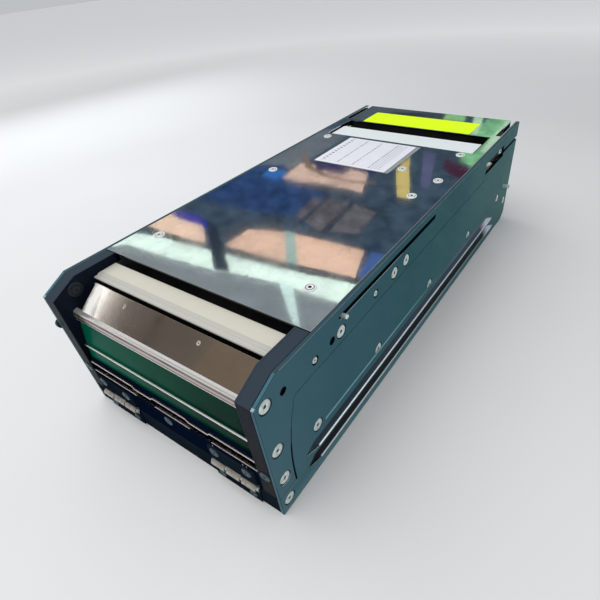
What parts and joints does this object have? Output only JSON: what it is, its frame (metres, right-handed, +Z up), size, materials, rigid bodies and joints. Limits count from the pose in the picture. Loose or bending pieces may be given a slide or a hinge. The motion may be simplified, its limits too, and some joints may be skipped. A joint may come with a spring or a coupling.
{
  "type": "banknote validator",
  "caption": "Long box-shaped banknote validator: a sheet-metal clamshell with a stepped note slot between two front posts, belt transport inside and a top that swings up on front hinges.",
  "frame": {"origin": "middle of the underside, on the surface the unit stands on; the box includes the studs, the knob and the hinge knuckles", "axes": "+X across to the right as seen from the note slot, +Y from the slot towards the rear, +Z up"},
  "size_m": [0.248, 0.533, 0.1369],
  "materials": {
    "side_teal": "satin",
    "post_dark": "satin",
    "cover_mirror": "polished",
    "zinc": "bright zinc",
    "chrome_plate": "mirror",
    "steel": "satin",
    "cream": "satin",
    "panel_green": "gloss",
    "panel_navy": "semi-gloss",
    "black_plastic": "matte",
    "glass": "clear",
    "brass": "satin",
    "belt": "matte",
    "rubber": "matte",
    "board": "solder mask",
    "white_plastic": "satin",
    "gear": "satin",
    "label_white": "gloss film",
    "label_yellow": "satin",
    "dark_screw": "blued",
    "knob": "satin"
  },
  "bodies": {
    "lower_unit": {"lower_plate_right": "side_teal", "lower_plate_left": "side_teal", "bottom_plate": "steel", "front_sill": "post_dark", "lower_rear_plate": "side_teal", "lower_frames": "steel", "lower_note_guide": "black_plastic", "lower_sensor": "black_plastic", "lower_sensor_glass": "glass", "shaft_bushes": "brass", "drive_motor": "steel", "transport_belts_front": "belt", "transport_belts_rear": "belt", "timing_belt": "rubber", "control_board": "board", "board_parts": "black_plastic", "rear_connectors": "white_plastic", "hinge_leaves_lower": "zinc", "hinge_pins": "zinc", "lower_screws": "zinc", "locating_studs": "zinc", "latch_keepers": "steel"},
    "upper_unit": {"top_cover": "cover_mirror", "upper_plate_right": "side_teal", "upper_plate_left": "side_teal", "front_post_right": "post_dark", "front_post_left": "post_dark", "front_beam": "cream", "rear_beam": "cream", "entry_plate": "chrome_plate", "entry_panel": "panel_green", "lip_bar": "chrome_plate", "slot_lips": "chrome_plate", "lower_entry_panel": "panel_navy", "upper_note_guide": "black_plastic", "upper_frames": "steel", "cross_members": "steel", "upper_sensor": "black_plastic", "upper_sensor_glass": "glass", "magnetic_head": "steel", "hinge_leaves_upper": "zinc", "upper_screws": "zinc", "front_screws": "dark_screw", "white_label": "label_white", "yellow_label": "label_yellow", "guide_pins": "zinc", "post_knobs": "knob"},
    "drum_1": {"belt_drum_1": "steel"},
    "drum_2": {"belt_drum_2": "steel"},
    "drum_3": {"belt_drum_3": "steel"},
    "drum_4": {"belt_drum_4": "steel", "drive_gear": "gear"},
    "pinion": {"motor_pinion": "brass"},
    "pinch_1": {"pinch_roller_1": "rubber"},
    "pinch_2": {"pinch_roller_2": "rubber"},
    "pinch_3": {"pinch_roller_3": "rubber"},
    "pinch_4": {"pinch_roller_4": "rubber"},
    "latch": {"latch_shaft": "steel", "latch_levers": "steel", "latch_hooks": "steel"}
  },
  "joints": [
    {"name": "upper_unit_lift", "type": "hinge", "parent": "lower_unit", "child": "upper_unit", "pos_m": [0, -0.2635, 0.0218], "axis": [1, 0, 0], "range_deg": [0, 70]},
    {"name": "latch_turn", "type": "hinge", "parent": "upper_unit", "child": "latch", "pos_m": [0, 0.206, 0.118], "axis": [1, 0, 0], "range_deg": [0, 6]},
    {"name": "drum_4_spin", "type": "hinge", "parent": "lower_unit", "child": "drum_4", "pos_m": [0, 0.178, 0.0884], "axis": [1, 0, 0], "continuous": true},
    {"name": "drum_1_spin", "type": "hinge", "parent": "lower_unit", "child": "drum_1", "pos_m": [0, -0.21, 0.0884], "axis": [1, 0, 0], "continuous": true},
    {"name": "drum_2_spin", "type": "hinge", "parent": "lower_unit", "child": "drum_2", "pos_m": [0, -0.124, 0.0884], "axis": [1, 0, 0], "continuous": true},
    {"name": "drum_3_spin", "type": "hinge", "parent": "lower_unit", "child": "drum_3", "pos_m": [0, -0.04, 0.0884], "axis": [1, 0, 0], "continuous": true},
    {"name": "pinion_spin", "type": "hinge", "parent": "lower_unit", "child": "pinion", "pos_m": [0, 0.1702, 0.05928], "axis": [1, 0, 0], "continuous": true},
    {"name": "pinch_1_spin", "type": "hinge", "parent": "upper_unit", "child": "pinch_1", "pos_m": [0, -0.21, 0.1105], "axis": [1, 0, 0], "continuous": true},
    {"name": "pinch_2_spin", "type": "hinge", "parent": "upper_unit", "child": "pinch_2", "pos_m": [0, -0.124, 0.1105], "axis": [1, 0, 0], "continuous": true},
    {"name": "pinch_3_spin", "type": "hinge", "parent": "upper_unit", "child": "pinch_3", "pos_m": [0, -0.04, 0.1105], "axis": [1, 0, 0], "continuous": true},
    {"name": "pinch_4_spin", "type": "hinge", "parent": "upper_unit", "child": "pinch_4", "pos_m": [0, 0.178, 0.1105], "axis": [1, 0, 0], "continuous": true}
  ],
  "couplings": [
    {"joint": "drum_1_spin", "follows": "drum_4_spin", "ratio": 1},
    {"joint": "drum_2_spin", "follows": "drum_4_spin", "ratio": 1},
    {"joint": "drum_3_spin", "follows": "drum_4_spin", "ratio": 1},
    {"joint": "pinion_spin", "follows": "drum_4_spin", "ratio": -2},
    {"joint": "pinch_1_spin", "follows": "drum_4_spin", "ratio": -1.725},
    {"joint": "pinch_2_spin", "follows": "drum_4_spin", "ratio": -1.725},
    {"joint": "pinch_3_spin", "follows": "drum_4_spin", "ratio": -1.725},
    {"joint": "pinch_4_spin", "follows": "drum_4_spin", "ratio": -1.725}
  ]
}
